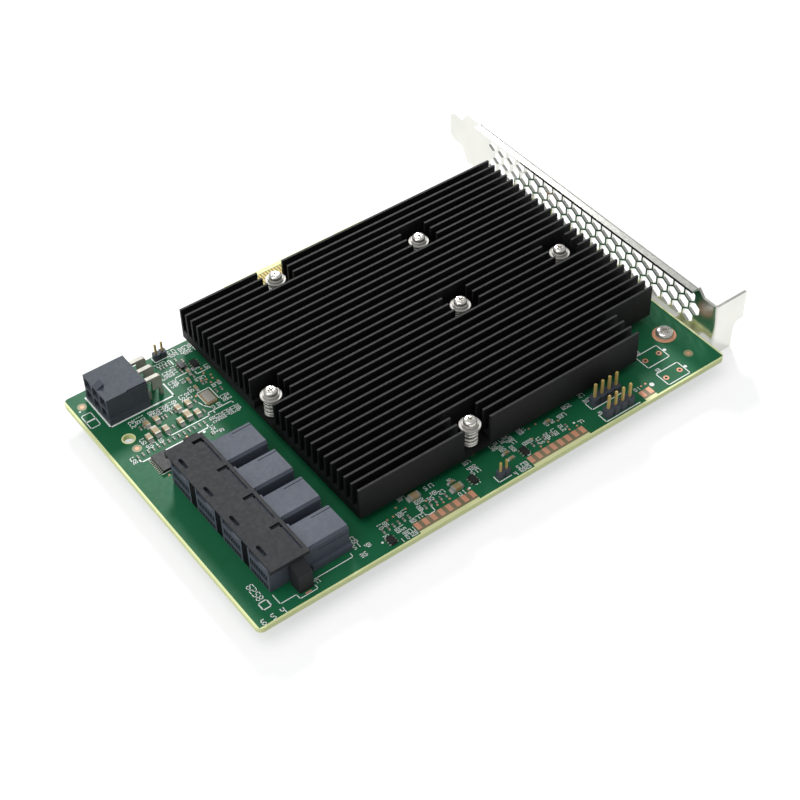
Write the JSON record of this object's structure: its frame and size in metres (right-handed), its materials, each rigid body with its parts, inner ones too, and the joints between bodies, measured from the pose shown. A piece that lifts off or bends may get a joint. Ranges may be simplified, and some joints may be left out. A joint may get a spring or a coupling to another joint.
{
  "type": "raid controller card",
  "caption": "Full height storage controller card with a finned heatsink on spring screws, internal drive ports, an auxiliary power socket and a perforated slot bracket.",
  "frame": {"origin": "centre of the key notch at the tip of the gold edge, on the board's component face", "axes": "+X along the card to the bracket, +Y out of the gold edge into the slot, +Z off the component face"},
  "size_m": [0.1694, 0.127, 0.0213],
  "materials": {
    "solder_mask": "glossy green solder mask over laminate",
    "gold": "thin hard gold plating",
    "copper": "matt bare copper",
    "black_anodised": "black anodised extrusion",
    "nickel": "bright nickel plate",
    "spring_steel": "plated spring wire",
    "bright_sheet": "bright plated sheet steel",
    "substrate": "satin laminate",
    "lid_metal": "satin nickel",
    "thermal_pad": "soft grey pad",
    "port_plastic": "satin grey-blue moulding",
    "cover_plastic": "satin dark grey moulding",
    "black_plastic": "satin black moulding",
    "tinned_copper": "matt tin",
    "chip_plastic": "fine matt moulding",
    "ceramic": "matt sintered ceramic"
  },
  "bodies": {
    "root": {"circuit_board": "solder_mask", "edge_contacts": "gold", "edge_pads": "copper", "heatsink": "black_anodised", "heatsink_screws": "nickel", "heatsink_washers": "nickel", "heatsink_springs": "spring_steel", "heatsink_nuts": "nickel", "controller_substrates": "substrate", "controller_lids": "lid_metal", "switch_substrate": "substrate", "switch_lid": "lid_metal", "thermal_pads": "thermal_pad", "bracket": "bright_sheet", "bracket_screws": "nickel", "storage_port_1": "port_plastic", "storage_port_2": "port_plastic", "storage_port_3": "port_plastic", "storage_port_4": "port_plastic", "storage_contacts": "gold", "storage_cover": "cover_plastic", "power_housing": "black_plastic", "power_blades": "tinned_copper", "header_far_corner": "black_plastic", "header_near_edge": "black_plastic", "header_inner_row": "black_plastic", "header_outer_row": "black_plastic", "header_pins": "gold", "monitor_chip": "chip_plastic", "monitor_leads": "tinned_copper", "small_ic_bodies": "chip_plastic", "small_ic_leads": "tinned_copper", "crystal_base": "ceramic", "crystal_lid": "lid_metal", "capacitor_bodies": "ceramic", "capacitor_terminals": "tinned_copper"}
  },
  "joints": []
}
